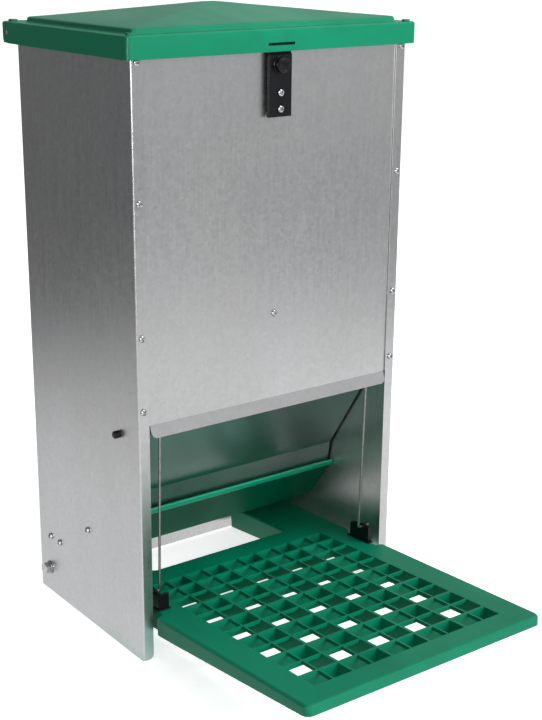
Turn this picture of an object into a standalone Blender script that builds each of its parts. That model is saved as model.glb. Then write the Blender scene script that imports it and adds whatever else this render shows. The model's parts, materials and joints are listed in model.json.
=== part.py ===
"""Treadle poultry feeder: folded sheet hopper body, hinged moulded lid with a push latch, a grid treadle that
lifts a flap over the feed trough through two lever rods. Metres, +Z up, front faces -Y, rest pose flap closed."""

import math

import bmesh
import bpy
from mathutils import Matrix, Vector

MM = 0.001
SHIFT_X = -135.0
SHIFT_Y = 5.77

# body, in millimetres from the left side's outer face, the front flange's outer face and the floor
W = 270.0
DEPTH = 180.3
SHEET = 1.0
THIN = 0.8
BODY_TOP = 510.8
FLANGE = 10.3
REAR_LIFT = 2.0
FLANGE_CORNER_R = 4.5
GAP = 0.3
BEND_R = 1.6

FLANGE_SCREW_X = (5.0, 265.0)
FLANGE_SCREW_Z = (221.7, 282.4, 388.6, 493.8)
CENTRE_SCREW = (135.0, 282.4)
SIDE_SCREWS = (("front", 88.3, 88.1), ("mid", 141.0, 56.2), ("rear", 158.1, 56.3))

AXLE = (31.1, 195.0)
AXLE_R = 2.0
PIVOT = (163.5, 22.8)
BOLT_R = 3.0
HINGE = (186.0, 505.0)
HINGE_R = 2.0
LEVER_EYE = (8.3, 203.3)
CLIP_EYE = (12.66, 54.5)
ROD_R = 1.1
ROD_X = 25.0

PANEL_Y = 1.3
PANEL_BEND_Z = 208.6
PANEL_TOP = 508.0
LIP_END = (-2.2, 198.3)

# treadle, in its own frame: origin on the pivot, +y to the rear along the deck
TILT = math.radians(3.61)
DECK_Z = 7.47
V0 = 164.3
V_FRONT = 203.9
CELL_X0 = 38.05
CELL = 36.7
CELL_V = 36.85
PITCH_X = 39.3
PITCH_V = 39.45
V_NEAR = 161.4
RIB = 2.6
MID_RIB = 1.6
MID_DEPTH = 3.0
SKIN = 2.5
EASE = 0.06

LID = (-6.2, 276.2, -5.5, 192.5)
LID_EDGE_Z = 495.8
LID_BRIM_Z = 513.4
LID_WALL = 2.0
LID_STEP_Z = 517.6
LID_PEAK_Z = 529.8
PLATEAU = (5.8, 264.2, 6.5, 175.5)

LATCH_X = (124.0, 146.0)
LATCH_AXIS_Z = 457.5
KNOB = (135.0, 485.5)


def clear():
    for obj in list(bpy.data.objects):
        bpy.data.objects.remove(obj, do_unlink=True)


clear()
SCENE = bpy.context.scene
PARTS = bpy.data.collections.new("treadle_feeder")
CUTTERS = bpy.data.collections.new("cutters")
SCENE.collection.children.link(PARTS)
SCENE.collection.children.link(CUTTERS)
CUTTERS.hide_render = True


def P(x, y, z):
    return Vector(((x + SHIFT_X) * MM, (y + SHIFT_Y) * MM, z * MM))


MATERIALS = {}


def material(name, colour, metallic, roughness):
    if name not in MATERIALS:
        mat = bpy.data.materials.new(name)
        mat.use_nodes = True
        node = mat.node_tree.nodes["Principled BSDF"]
        node.inputs["Base Color"].default_value = (*colour, 1.0)
        node.inputs["Metallic"].default_value = metallic
        node.inputs["Roughness"].default_value = roughness
        mat.diffuse_color = (*colour, 1.0)
        MATERIALS[name] = mat
    return MATERIALS[name]


GALV = ("galvanised_sheet", (0.60, 0.61, 0.62), 1.0, 0.38)
ZINC = ("zinc_plated_steel", (0.55, 0.56, 0.57), 1.0, 0.30)
WIRE = ("steel_wire", (0.50, 0.50, 0.51), 1.0, 0.25)
GREEN_LID = ("green_lid_plastic", (0.012, 0.27, 0.16), 0.0, 0.42)
GREEN_TREADLE = ("green_satin_plastic", (0.004, 0.20, 0.11), 0.0, 0.50)
BLACK = ("black_plastic", (0.012, 0.012, 0.014), 0.0, 0.40)


def link(obj, mat, cutter=False):
    if cutter:
        CUTTERS.objects.link(obj)
        obj.hide_render = True
        obj.display_type = "WIRE"
    else:
        PARTS.objects.link(obj)
        obj.data.materials.append(material(*mat))
    return obj


def from_bm(name, bm, mat, origin=None, cutter=False, smooth=False):
    """An object from a bmesh in world metres; origin is where its own origin goes."""
    bmesh.ops.recalc_face_normals(bm, faces=bm.faces[:])
    if origin is not None:
        bmesh.ops.translate(bm, verts=bm.verts[:], vec=-origin)
    mesh = bpy.data.meshes.new(name)
    bm.to_mesh(mesh)
    bm.free()
    obj = bpy.data.objects.new(name, mesh)
    if origin is not None:
        obj.location = origin
    link(obj, mat, cutter)
    if smooth:
        mesh.shade_smooth()
        mesh.set_sharp_from_angle(angle=math.radians(32))
    return obj


def add_prism(bm, outline, direction, start, end, frame):
    """A closed outline pushed from start to end; frame maps (u, v, w) to a point."""
    low = [bm.verts.new(frame(u, v, start)) for u, v in outline]
    high = [bm.verts.new(frame(u, v, end)) for u, v in outline]
    bm.faces.new(low)
    bm.faces.new(high)
    n = len(outline)
    for i in range(n):
        bm.faces.new((low[i], low[(i + 1) % n], high[(i + 1) % n], high[i]))


def frame_x(u, v, w):
    return P(w, u, v)


def frame_y(u, v, w):
    return P(u, w, v)


def frame_z(u, v, w):
    return P(u, v, w)


def add_box(bm, x0, x1, y0, y1, z0, z1, to_world=P):
    add_prism(
        bm,
        [(x0, y0), (x1, y0), (x1, y1), (x0, y1)],
        None,
        z0,
        z1,
        lambda u, v, w: to_world(u, v, w),
    )


def circle(cu, cv, r, n, phase=0.0):
    return [
        (
            cu + r * math.cos(phase + 2 * math.pi * i / n),
            cv + r * math.sin(phase + 2 * math.pi * i / n),
        )
        for i in range(n)
    ]


def fillet(path, r, n, closed=False):
    """The path with its inner corners rounded."""
    out = []
    count = len(path)
    for i, p in enumerate(path):
        if not closed and i in (0, count - 1):
            out.append(p)
            continue
        a = Vector(path[i - 1])
        b = Vector(p)
        c = Vector(path[(i + 1) % count])
        d1 = (a - b).normalized()
        d2 = (c - b).normalized()
        angle = d1.angle(d2)
        rr = r[i] if isinstance(r, (list, tuple)) else r
        if rr <= 0 or angle > math.radians(178):
            out.append(tuple(b))
            continue
        reach = rr / math.tan(angle / 2)
        start = b + d1 * reach
        end = b + d2 * reach
        middle = b + (d1 + d2).normalized() * (rr / math.sin(angle / 2))
        v1 = start - middle
        v2 = end - middle
        sweep = v1.angle_signed(v2)
        for k in range(n + 1):
            t = -sweep * k / n
            out.append(
                (
                    middle.x + v1.x * math.cos(t) - v1.y * math.sin(t),
                    middle.y + v1.x * math.sin(t) + v1.y * math.cos(t),
                )
            )
    return out


def sheet_section(path, thickness, r=BEND_R, n=3):
    """A closed outline, thickness wide, around a centre-line."""
    line = [Vector(p) for p in fillet(path, r, n)]
    left, right = [], []
    for i, p in enumerate(line):
        before = (p - line[i - 1]).normalized() if i else None
        after = (line[i + 1] - p).normalized() if i < len(line) - 1 else None
        if before is None:
            before = after
        if after is None:
            after = before
        n1 = Vector((-before.y, before.x))
        n2 = Vector((-after.y, after.x))
        m = (n1 + n2).normalized()
        m = m * (thickness / 2 / max(0.5, m.dot(n1)))
        left.append(tuple(p + m))
        right.append(tuple(p - m))
    return left + right[::-1]


def prism(name, outline, start, end, frame, mat, origin=None, cutter=False, smooth=False):
    bm = bmesh.new()
    add_prism(bm, outline, None, start, end, frame)
    return from_bm(name, bm, mat, origin, cutter, smooth)


def boolean(obj, cutter, operation="DIFFERENCE"):
    mod = obj.modifiers.new(operation.lower(), "BOOLEAN")
    mod.operation = operation
    mod.solver = "EXACT"
    mod.object = cutter
    return mod


def cylinders(name, items, mat=GALV, cutter=True, sides=16):
    """items: (axis, (x, y, z) of one end, length, radius)."""
    bm = bmesh.new()
    for axis, (x, y, z), length, r in items:
        if axis == "x":
            add_prism(bm, circle(y, z, r, sides), None, x, x + length, frame_x)
        elif axis == "y":
            add_prism(bm, circle(x, z, r, sides), None, y, y + length, frame_y)
        else:
            add_prism(bm, circle(x, y, r, sides), None, z, z + length, frame_z)
    return from_bm(name, bm, mat, cutter=cutter)


OUTWARD = {
    "-x": Vector((-1, 0, 0)),
    "+x": Vector((1, 0, 0)),
    "-y": Vector((0, -1, 0)),
    "+y": Vector((0, 1, 0)),
    "+z": Vector((0, 0, 1)),
}


def turned(name, profile, place, outward, mat, steps=16):
    """profile: (radius, height) from the top down the outer side, both ends on the axis; height runs outward."""
    mesh = bpy.data.meshes.new(name)
    bm = bmesh.new()
    verts = [bm.verts.new((r * MM, 0, h * MM)) for r, h in profile]
    for a, b in zip(verts, verts[1:]):
        bm.edges.new((a, b))
    bm.to_mesh(mesh)
    bm.free()
    obj = bpy.data.objects.new(name, mesh)
    obj.location = place
    obj.rotation_euler = Vector((0, 0, 1)).rotation_difference(OUTWARD[outward]).to_euler()
    mod = obj.modifiers.new("turn", "SCREW")
    mod.steps = steps
    mod.render_steps = steps
    mod.use_merge_vertices = True
    mod.merge_threshold = 0.00001
    mod.use_smooth_shade = True
    link(obj, mat)
    return obj


def screw(name, place, outward, head_r=3.0, head_h=2.0, shank_r=1.4, shank=5.0):
    return turned(
        name,
        [
            (0, head_h),
            (head_r * 0.55, head_h * 0.92),
            (head_r * 0.88, head_h * 0.62),
            (head_r, head_h * 0.25),
            (head_r, 0),
            (shank_r, 0),
            (shank_r, -shank),
            (0, -shank),
        ],
        place,
        outward,
        ZINC,
        steps=14,
    )


# ---------------------------------------------------------------- body shell
plan = [
    (FLANGE, SHEET / 2),
    (SHEET / 2, SHEET / 2),
    (SHEET / 2, DEPTH - SHEET / 2),
    (W - SHEET / 2, DEPTH - SHEET / 2),
    (W - SHEET / 2, SHEET / 2),
    (W - FLANGE, SHEET / 2),
]
body_shell = prism("body_shell", sheet_section(plan, SHEET), 0, BODY_TOP, frame_z, GALV)

holes = []
for side in (0, 1):
    x = -3.0 if side == 0 else W - 4.0
    holes.append(("x", (x, *AXLE), 7.0, AXLE_R + GAP))
    holes.append(("x", (x, *PIVOT), 7.0, BOLT_R + GAP))
    for _, y, z in SIDE_SCREWS:
        holes.append(("x", (x, y, z), 7.0, 1.75))
for x in FLANGE_SCREW_X:
    for z in FLANGE_SCREW_Z:
        holes.append(("y", (x, -2.0, z), 3.15, 1.75))
boolean(body_shell, cylinders("cut_body_holes", holes))

bm = bmesh.new()
add_box(bm, 4.0, W - 4.0, DEPTH - 4, DEPTH + 3, -5, REAR_LIFT)
for side in (0, 1):
    c = FLANGE - FLANGE_CORNER_R
    arc = [
        (
            c + FLANGE_CORNER_R * math.sin(math.pi / 2 * k / 5),
            FLANGE_CORNER_R - FLANGE_CORNER_R * math.cos(math.pi / 2 * k / 5),
        )
        for k in range(6)
    ]
    outline = arc + [(FLANGE + 1.5, FLANGE_CORNER_R), (FLANGE + 1.5, -1.5), (c, -1.5)]
    if side:
        outline = [(W - x, z) for x, z in outline]
    add_prism(bm, outline, None, -1.5, 2.5, frame_y)
boolean(body_shell, from_bm("cut_body_trims", bm, GALV, cutter=True))

# ---------------------------------------------------------------- front panel with its drip lip
panel_mid = PANEL_Y + THIN / 2
front_panel = prism(
    "front_panel",
    sheet_section([(panel_mid, PANEL_TOP), (panel_mid, PANEL_BEND_Z), LIP_END], THIN, 1.2),
    SHEET + 0.6,
    W - SHEET - 0.6,
    frame_x,
    GALV,
)
bm = bmesh.new()
for side in (0, 1):
    inner = FLANGE + 1.2
    outline = [
        (-3, PANEL_BEND_Z + 0.3),
        (inner, PANEL_BEND_Z + 0.3),
        (inner, LIP_END[1] + 4.6),
        (inner + 1.3, LIP_END[1] + 1.4),
        (inner + 4.4, LIP_END[1] - 0.1),
        (inner + 4.4, LIP_END[1] - 4),
        (-3, LIP_END[1] - 4),
    ]
    if side:
        outline = [(W - x, z) for x, z in outline]
    add_prism(bm, outline, None, -8, 8, frame_y)
boolean(front_panel, from_bm("cut_panel_corners", bm, GALV, cutter=True))
panel_holes = [("y", (x, -0.6, z), 6.0, 1.75) for x in FLANGE_SCREW_X for z in FLANGE_SCREW_Z]
panel_holes.append(("y", (CENTRE_SCREW[0], -0.6, CENTRE_SCREW[1]), 6.0, 1.75))
panel_holes.append(("y", (135.0, -0.6, 463.9), 6.0, 1.75))
panel_holes.append(("y", (135.0, -0.6, 451.2), 6.0, 1.75))
boolean(front_panel, cylinders("cut_panel_holes", panel_holes))

# ---------------------------------------------------------------- hopper baffle
baffle_y = PANEL_Y + THIN + GAP + THIN / 2
hopper_baffle = prism(
    "hopper_baffle",
    sheet_section([(baffle_y, 291.0), (baffle_y, 274.5), (147.5, 155.5), (148.2, 149.0)], THIN, 1.5),
    SHEET + 0.6,
    W - SHEET - 0.6,
    frame_x,
    GALV,
)
boolean(
    hopper_baffle,
    cylinders(
        "cut_baffle_holes",
        [("y", (x, -0.5, CENTRE_SCREW[1]), 8.0, 1.75) for x in (5.0, 135.0, 265.0)],
    ),
)

for x, side in zip(FLANGE_SCREW_X, ("left", "right")):
    for i, z in enumerate(FLANGE_SCREW_Z):
        screw(f"{side}_flange_screw_{i + 1}", P(x, -GAP, z), "-y", 2.8, 1.8, 1.4, 6.0)
screw("baffle_screw", P(CENTRE_SCREW[0], PANEL_Y - GAP, CENTRE_SCREW[1]), "-y", 2.8, 1.8, 1.4, 6.0)

# ---------------------------------------------------------------- trough
outer = fillet(
    [(81.9, 94.6), (84.0, 90.2), (118.4, 45.9), (164.9, 45.9), (176.6, 61.0), (178.4, 132.0)],
    [0, 1.5, 3.0, 3.0, 4.0, 0],
    3,
)
inner = fillet(
    [(82.8, 95.0), (84.9, 90.7), (118.9, 46.9), (164.4, 46.9), (175.6, 61.4), (177.4, 132.0)],
    [0, 1.2, 2.5, 2.5, 3.5, 0],
    3,
)
bm = bmesh.new()
add_prism(bm, outer + inner[::-1], None, SHEET + 0.6, W - SHEET - 0.6, frame_x)
trough = from_bm("trough", bm, GREEN_TREADLE)
bm = bmesh.new()
plate = fillet(
    [(83.6, 91.1), (118.65, 46.4), (164.65, 46.4), (176.1, 61.2), (177.2, 96.0), (96.0, 90.2), (86.3, 90.2)],
    [0, 2.7, 2.7, 3.7, 0, 0, 0],
    3,
)
add_prism(bm, plate, None, SHEET + 0.62, SHEET + 1.62, frame_x)
add_prism(bm, plate, None, W - SHEET - 1.62, W - SHEET - 0.62, frame_x)
boolean(trough, from_bm("join_trough_ends", bm, GREEN_TREADLE, cutter=True), "UNION")
trough_holes = []
for x in (-1.0, W - 8.0):
    for _, y, z in SIDE_SCREWS:
        trough_holes.append(("x", (x, y, z), 9.0, 1.72))
boolean(trough, cylinders("cut_trough_holes", trough_holes))

for side in ("left", "right"):
    for where, y, z in SIDE_SCREWS:
        x = -GAP if side == "left" else W + GAP
        screw(f"{side}_trough_screw_{where}", P(x, y, z), "-x" if side == "left" else "+x", 3.0, 2.0, 1.4, 5.5)

# ---------------------------------------------------------------- flap, its axle and levers
FLAP_X = (3.2, W - 3.2)
axle_at = P(0, *AXLE)
axle_at.x = 0.0
flap = prism(
    "flap",
    sheet_section([(32.7, 192.55), (84.0, 113.2), (87.2, 91.2)], THIN, 1.5),
    FLAP_X[0],
    FLAP_X[1],
    frame_x,
    GALV,
    origin=axle_at,
)
boolean(flap, cylinders("join_flap_eye", [("x", (FLAP_X[0] + 0.01, *AXLE), FLAP_X[1] - FLAP_X[0] - 0.02, 3.6)], sides=18), "UNION")
slots = [
    ("x", (21.1, *AXLE), 2.6, 8.5),
    ("x", (W - 23.7, *AXLE), 2.6, 8.5),
]
boolean(flap, cylinders("cut_flap_slots", slots, sides=20))
boolean(flap, cylinders("cut_flap_bore", [("x", (-2, *AXLE), W + 4, AXLE_R + GAP)]))


def lever_outline():
    """A tangent-sided link from the axle boss to the rod eye."""
    r1, r2 = 7.6, 4.2
    a = Vector(AXLE)
    b = Vector(LEVER_EYE)
    d = b - a
    base = math.atan2(d.y, d.x)
    spread = math.acos((r1 - r2) / d.length)
    pts = []
    for k in range(13):
        t = base + spread + (2 * math.pi - 2 * spread) * k / 12
        pts.append((a.x + r1 * math.cos(t), a.y + r1 * math.sin(t)))
    for k in range(9):
        t = base - spread + 2 * spread * k / 8
        pts.append((b.x + r2 * math.cos(t), b.y + r2 * math.sin(t)))
    return pts


lever_cut = cylinders(
    "cut_lever_holes",
    [("x", (15, *LEVER_EYE), 240, 2.05), ("x", (15, *AXLE), 240, AXLE_R + GAP)],
)
for side, x0 in (("left", 21.4), ("right", W - 23.4)):
    lever = prism(f"{side}_flap_lever", lever_outline(), x0, x0 + 2.0, frame_x, ZINC, origin=axle_at)
    boolean(lever, lever_cut)

turned(
    "flap_axle",
    [(0, 270.6), (AXLE_R, 270.6), (AXLE_R, -0.6), (0, -0.6)],
    P(0, *AXLE),
    "+x",
    WIRE,
    steps=16,
)
for side in ("left", "right"):
    out = "-x" if side == "left" else "+x"
    x = -GAP if side == "left" else W + GAP
    turned(
        f"{side}_axle_cap",
        [(0, 5.0), (2.3, 4.75), (3.25, 3.9), (3.25, 0), (2.3, 0), (2.3, 3.6), (0, 3.6)],
        P(x, *AXLE),
        out,
        BLACK,
        steps=16,
    )

# ---------------------------------------------------------------- treadle, in its own frame
def T(x, y, z):
    return Vector(((x + SHIFT_X) * MM, y * MM, z * MM))


def tv(v):
    return -V0 - v


def half_outline():
    """Right half, front centre to the arm's inner corner, as (half width, v) with corner radii."""
    return [
        ((0, V_FRONT), 0),
        ((122.1, V_FRONT), 6.0),
        ((125.0, 25.0), 30.0),
        ((125.0, 3.4), 4.2),
        ((119.0, 3.4), 1.0),
        ((119.0, -36.0), 1.5),
        ((124.3, -43.0), 4.5),
        ((127.0, -139.0), 10.0),
        ((127.0, -172.6), 6.0),
        ((74.0, -172.6), 6.0),
        ((74.0, -80.2), 4.0),
        ((0, -80.2), 0),
    ]


pts = half_outline()
right = [(135 + p[0][0], tv(p[0][1])) for p in pts[1:-1]]
left = [(135 - p[0][0], tv(p[0][1])) for p in pts[1:-1]][::-1]
radii = [p[1] for p in pts[1:-1]]
outline = fillet(right + left, radii + radii[::-1], 3, closed=True)
bm = bmesh.new()
low = [bm.verts.new(T(x, y, -40)) for x, y in outline]
high = [bm.verts.new(T(x, y, DECK_Z)) for x, y in outline]
bm.faces.new(low)
top_face = bm.faces.new(high)
for i in range(len(outline)):
    j = (i + 1) % len(outline)
    bm.faces.new((low[i], low[j], high[j], high[i]))
bmesh.ops.recalc_face_normals(bm, faces=bm.faces[:])
bmesh.ops.bevel(
    bm,
    geom=list(top_face.edges),
    offset=2.6 * MM,
    segments=3,
    profile=0.5,
    affect="EDGES",
)
mesh = bpy.data.meshes.new("treadle")
bm.to_mesh(mesh)
bm.free()
treadle = bpy.data.objects.new("treadle", mesh)
treadle.location = P(0, *PIVOT)
treadle.location.x = 0.0
treadle.rotation_euler = (-TILT, 0, 0)
link(treadle, GREEN_TREADLE)


def treadle_tool(name, bm, settle=False):
    if settle:
        bmesh.ops.recalc_face_normals(bm, faces=bm.faces[:])
    mesh = bpy.data.meshes.new(name)
    bm.to_mesh(mesh)
    bm.free()
    obj = bpy.data.objects.new(name, mesh)
    obj.location = treadle.location
    obj.rotation_euler = treadle.rotation_euler
    return link(obj, GREEN_TREADLE, cutter=True)


def wedge(bm, x0, x1, y0, y1, top, below):
    """A block with a flat or sloping bottom: below(y) gives its underside."""
    c = [
        bm.verts.new(T(x, y, z))
        for x in (x0, x1)
        for y, z in ((y0, below(y0)), (y1, below(y1)), (y1, top), (y0, top))
    ]
    bm.faces.new(c[3::-1])
    bm.faces.new(c[4:])
    for i in range(4):
        j = (i + 1) % 4
        bm.faces.new((c[i], c[j], c[4 + j], c[4 + i]))


def skirt_bottom(y):
    return -14.9 - 0.0372 * y


def rib_bottom(y):
    return -13.05 - 0.0145 * y


# everything under the skirt's sloping lower edge goes
bm = bmesh.new()
c = [
    bm.verts.new(T(x, y, z))
    for x in (-10, 280)
    for y, z in ((-400, -60), (40, -60), (40, skirt_bottom(40)), (-400, skirt_bottom(-400)))
]
bm.faces.new(c[3::-1])
bm.faces.new(c[4:])
for i in range(4):
    j = (i + 1) % 4
    bm.faces.new((c[i], c[j], c[4 + j], c[4 + i]))
boolean(treadle, treadle_tool("cut_treadle_skirt", bm))

rows = [(tv(V_NEAR - PITCH_V * k), tv(V_NEAR - PITCH_V * k - CELL_V), True) for k in range(5)]
rows.insert(0, (tv(181.0), tv(164.0), False))
rows.append((tv(V_NEAR - PITCH_V * 5), tv(V_NEAR - PITCH_V * 5 - 17.0), False))
columns = [(CELL_X0 + PITCH_X * j, CELL_X0 + PITCH_X * j + CELL) for j in range(5)]
grid_x = (columns[0][0] - RIB, columns[-1][1] + RIB)
grid_y = (rows[0][0] - RIB, rows[-1][1] + RIB)

OVERLAP = 1.3
deep = DECK_Z - MID_DEPTH
skin = DECK_Z - SKIN


def under(y):
    return -60.0


bm = bmesh.new()
wedge(
    bm,
    grid_x[0] + OVERLAP,
    grid_x[1] - OVERLAP,
    grid_y[0] + OVERLAP,
    grid_y[1] - OVERLAP,
    DECK_Z + 6,
    under,
)
for side in (0, 1):

    def sided(a, b):
        return (a, b) if side == 0 else (W - b, W - a)

    for y0, y1, _ in rows[:5]:
        wedge(bm, *sided(15.8, grid_x[0] - 1.2), y0, y1, skin, under)
    wedge(bm, *sided(18.6, grid_x[0] - 1.2), rows[5][0] + 3.0, rows[5][1], skin, under)
    wedge(bm, *sided(18.6, grid_x[0] - 1.2), rows[6][0], rows[6][1], skin, under)
    wedge(bm, *sided(11.4, 58.5), tv(-80.2), tv(-120.0), skin, under)
    wedge(bm, *sided(10.6, 58.5), tv(-122.5), tv(-170.2), DECK_Z - 1.3, under)
for x0, x1 in columns:
    wedge(bm, x0, x1, tv(201.2), grid_y[0] - 1.2, skin, under)
    wedge(bm, x0, x1, grid_y[1] + 1.2, tv(-77.8), skin, under)
boolean(treadle, treadle_tool("cut_treadle_cavities", bm))

# the grid: deep ribs on the coarse pitch, shallow ones halfway between
xs, ys = [grid_x[0]], [grid_y[0]]
half_x = (CELL - MID_RIB) / 2
half_y = (CELL_V - MID_RIB) / 2
for x0, x1 in columns:
    xs += [x0, x0 + half_x, x1 - half_x, x1]
for y0, y1, full in rows:
    ys += [y0, y0 + half_y, y1 - half_y, y1] if full else [y0, y1]
xs.append(grid_x[1])
ys.append(grid_y[1])


def within(value, spans):
    return any(a < value < b for a, b in spans)


def lattice_solid(i, j, layer):
    """layer 0 is under the shallow ribs, 1 is level with them."""
    if not (0 <= i < len(xs) - 1 and 0 <= j < len(ys) - 1 and layer in (0, 1)):
        return False
    x = (xs[i] + xs[i + 1]) / 2
    y = (ys[j] + ys[j + 1]) / 2
    in_cell = within(x, columns) and within(y, [r[:2] for r in rows])
    if not in_cell:
        return True
    if layer == 0:
        return False
    on_mid_x = any(abs(x - (a + b) / 2) < MID_RIB / 2 for a, b in columns)
    on_mid_y = any(full and abs(y - (a + b) / 2) < MID_RIB / 2 for a, b, full in rows)
    return on_mid_x or on_mid_y


bm = bmesh.new()
corners = {}


def corner_at(i, j, k):
    if (i, j, k) not in corners:
        z = (rib_bottom(ys[j]), deep, DECK_Z - 0.02)[k]
        corners[i, j, k] = bm.verts.new(T(xs[i], ys[j], z))
    return corners[i, j, k]


SIDES = (
    ((-1, 0, 0), ((0, 0, 0), (0, 0, 1), (0, 1, 1), (0, 1, 0))),
    ((1, 0, 0), ((1, 0, 0), (1, 1, 0), (1, 1, 1), (1, 0, 1))),
    ((0, -1, 0), ((0, 0, 0), (1, 0, 0), (1, 0, 1), (0, 0, 1))),
    ((0, 1, 0), ((0, 1, 0), (0, 1, 1), (1, 1, 1), (1, 1, 0))),
    ((0, 0, -1), ((0, 0, 0), (0, 1, 0), (1, 1, 0), (1, 0, 0))),
    ((0, 0, 1), ((0, 0, 1), (1, 0, 1), (1, 1, 1), (0, 1, 1))),
)
for i in range(len(xs) - 1):
    for j in range(len(ys) - 1):
        for layer in (0, 1):
            if not lattice_solid(i, j, layer):
                continue
            for (di, dj, dk), quad in SIDES:
                if not lattice_solid(i + di, j + dj, layer + dk):
                    bm.faces.new([corner_at(i + a, j + b, layer + c) for a, b, c in quad])
bmesh.ops.dissolve_limit(
    bm,
    angle_limit=math.radians(0.2),
    verts=bm.verts[:],
    edges=bm.edges[:],
    use_dissolve_boundaries=False,
)
boolean(treadle, treadle_tool("join_treadle_grid", bm), "UNION")

bm = bmesh.new()
for x0 in (2.0, W - 24.0):
    low = [bm.verts.new(T(x0, u, v)) for u, v in circle(0, 0, 8.0, 20, 0.1)]
    high = [bm.verts.new(T(x0 + 22.0, u, v)) for u, v in circle(0, 0, 8.0, 20, 0.1)]
    bm.faces.new(low)
    bm.faces.new(high)
    for i in range(20):
        bm.faces.new((low[i], low[(i + 1) % 20], high[(i + 1) % 20], high[i]))
boolean(treadle, treadle_tool("join_treadle_bosses", bm, settle=True), "UNION")
boolean(treadle, cylinders("cut_treadle_bore", [("x", (-5, *PIVOT), 40, BOLT_R + GAP), ("x", (W - 35, *PIVOT), 40, BOLT_R + GAP)], sides=20))

# ---------------------------------------------------------------- clips and rods
def deck_z(y):
    return 40.6 - 0.0631 * y


CLIP_X = (15.5, 23.5)
clip_outline = [
    (3.6, deck_z(3.6) + GAP),
    (29.5, deck_z(29.5) + GAP),
    (29.5, 53.0),
    (27.5, 54.6),
    (19.0, 56.4),
    (5.0, 57.5),
    (3.6, 56.4),
]
clip_cut = cylinders("cut_clip_eyes", [("x", (5, *CLIP_EYE), 260, 1.4)])
clip_at = P(0, *CLIP_EYE)
clip_at.x = 0.0
for side in ("left", "right"):
    x0, x1 = CLIP_X if side == "left" else (W - CLIP_X[1], W - CLIP_X[0])
    clip = prism(f"{side}_rod_clip", clip_outline, x0, x1, frame_x, BLACK, origin=clip_at)
    boolean(clip, clip_cut)


def wire(name, points, r, mat, origin):
    """A round wire along points given in build millimetres, as a closed mesh."""
    curve = bpy.data.curves.new(name + "_path", "CURVE")
    curve.dimensions = "3D"
    curve.bevel_depth = r * MM
    curve.bevel_resolution = 2
    curve.use_fill_caps = True
    spline = curve.splines.new("POLY")
    spline.points.add(len(points) - 1)
    for point, p in zip(spline.points, points):
        point.co = (*P(*p), 1.0)
    temp = bpy.data.objects.new(name + "_path", curve)
    SCENE.collection.objects.link(temp)
    bpy.context.view_layer.update()
    graph = bpy.context.evaluated_depsgraph_get()
    mesh = bpy.data.meshes.new_from_object(temp.evaluated_get(graph))
    matrix = temp.matrix_world.copy()
    bpy.data.objects.remove(temp, do_unlink=True)
    bm = bmesh.new()
    bm.from_mesh(mesh)
    bmesh.ops.transform(bm, matrix=matrix, verts=bm.verts[:])
    bmesh.ops.remove_doubles(bm, verts=bm.verts[:], dist=0.00001)
    return from_bm(name, bm, mat, origin=origin, smooth=True)


def rounded(points, r=2.2, n=4):
    out = [Vector(points[0])]
    for a, b, c in zip(points, points[1:], points[2:]):
        a, b, c = Vector(a), Vector(b), Vector(c)
        d1 = (a - b).normalized()
        d2 = (c - b).normalized()
        for k in range(n + 1):
            t = k / n
            p = b + d1 * r * (1 - t) ** 2 + d2 * r * t**2
            out.append(p)
    out.append(Vector(points[-1]))
    return out


for side in ("left", "right"):
    pts3 = [
        (12.6, *CLIP_EYE),
        (ROD_X, *CLIP_EYE),
        (ROD_X, *LEVER_EYE),
        (19.6, *LEVER_EYE),
    ]
    if side == "right":
        pts3 = [(W - x, y, z) for x, y, z in pts3]
    wire(f"{side}_lift_rod", [tuple(p) for p in rounded(pts3)], ROD_R, WIRE, clip_at)

# ---------------------------------------------------------------- pivot bolts, washers and nuts
def hexagon(y, z, flats):
    return circle(y, z, flats / math.sqrt(3), 6, math.pi / 6)


for side in ("left", "right"):

    def span(a, b):
        return (a, b) if side == "left" else (W - b, W - a)

    washer = prism(f"{side}_pivot_washer", circle(*PIVOT, 6.2, 24), *span(-1.5, -0.3), frame_x, ZINC)
    boolean(washer, cylinders(f"cut_{side}_washer", [("x", (*span(-6, 6)[:1], *PIVOT), 12, BOLT_R + GAP)], sides=20))
    bm = bmesh.new()
    add_prism(bm, hexagon(*PIVOT, 10.0), None, *span(-5.8, -1.8), frame_x)
    bolt = from_bm(f"{side}_pivot_bolt", bm, ZINC)
    boolean(
        bolt,
        cylinders(f"join_{side}_shank", [("x", (*span(-3.0, 32.0)[:1], *PIVOT), 35, BOLT_R)], sides=20),
        "UNION",
    )
    nut = prism(f"{side}_pivot_nut", hexagon(*PIVOT, 10.0), *span(24.4, 29.0), frame_x, ZINC)
    boolean(nut, cylinders(f"cut_{side}_nut", [("x", (*span(22, 33)[:1], *PIVOT), 11, BOLT_R + GAP)], sides=20))

# ---------------------------------------------------------------- lid
def ring(x0, x1, y0, y1, r, z, n=4):
    pts = []
    for cx, cy, a0 in ((x1 - r, y1 - r, 0), (x0 + r, y1 - r, 90), (x0 + r, y0 + r, 180), (x1 - r, y0 + r, 270)):
        for k in range(n + 1):
            t = math.radians(a0 + 90 * k / n)
            pts.append((cx + r * math.cos(t), cy + r * math.sin(t), z))
    return pts


def inset(box, d):
    return box[0] + d, box[1] - d, box[2] + d, box[3] - d


CENTRE = (135.0, 93.0)


def roof_ring(f, z, r, drop=0.0):
    """f 0 is the plateau's edge, 1 the peak."""
    x0, x1, y0, y1 = inset(PLATEAU, 1.6 + drop)
    return ring(
        x0 + (CENTRE[0] - x0) * f,
        x1 + (CENTRE[0] - x1) * f,
        y0 + (CENTRE[1] - y0) * f,
        y1 + (CENTRE[1] - y1) * f,
        r,
        z,
    )


ROOF = ((0.0, 0.045), (0.10, 0.125), (0.82, 0.845), (0.90, 0.935), (0.96, 0.985))


def roof_z(g, base, peak):
    return base + (peak - base) * g


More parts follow.
